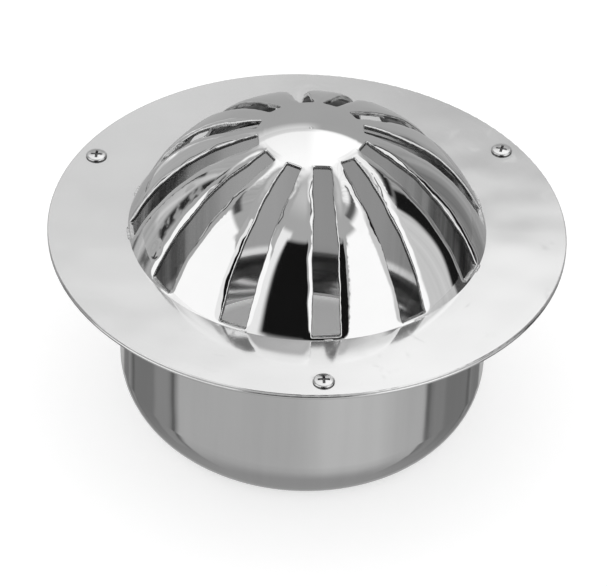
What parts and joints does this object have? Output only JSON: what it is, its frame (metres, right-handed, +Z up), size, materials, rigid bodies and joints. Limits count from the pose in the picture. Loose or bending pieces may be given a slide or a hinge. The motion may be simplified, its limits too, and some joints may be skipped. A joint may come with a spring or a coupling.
{
  "type": "flat roof drain",
  "caption": "Flat roof drain: slotted stainless dome on a flat cover ring, screwed to the flange of a round drawn sump with an open bottom.",
  "frame": {"origin": "centre of the circle on which the sump's open bottom stands", "axes": "+Z up the drain's axis towards the dome; -Y towards the front screw"},
  "size_m": [0.2, 0.2, 0.1299],
  "materials": {
    "dome_steel": "mirror polished stainless steel",
    "cover_steel": "polished stainless steel, lightly cloudy",
    "sump_steel": "polished drawn stainless steel",
    "screw_steel": "bright stainless steel"
  },
  "bodies": {
    "root": {"dome_grate": "dome_steel", "cover_flange": "cover_steel", "sump_body": "sump_steel", "screw_front": "screw_steel", "screw_right": "screw_steel", "screw_left": "screw_steel"}
  },
  "joints": []
}
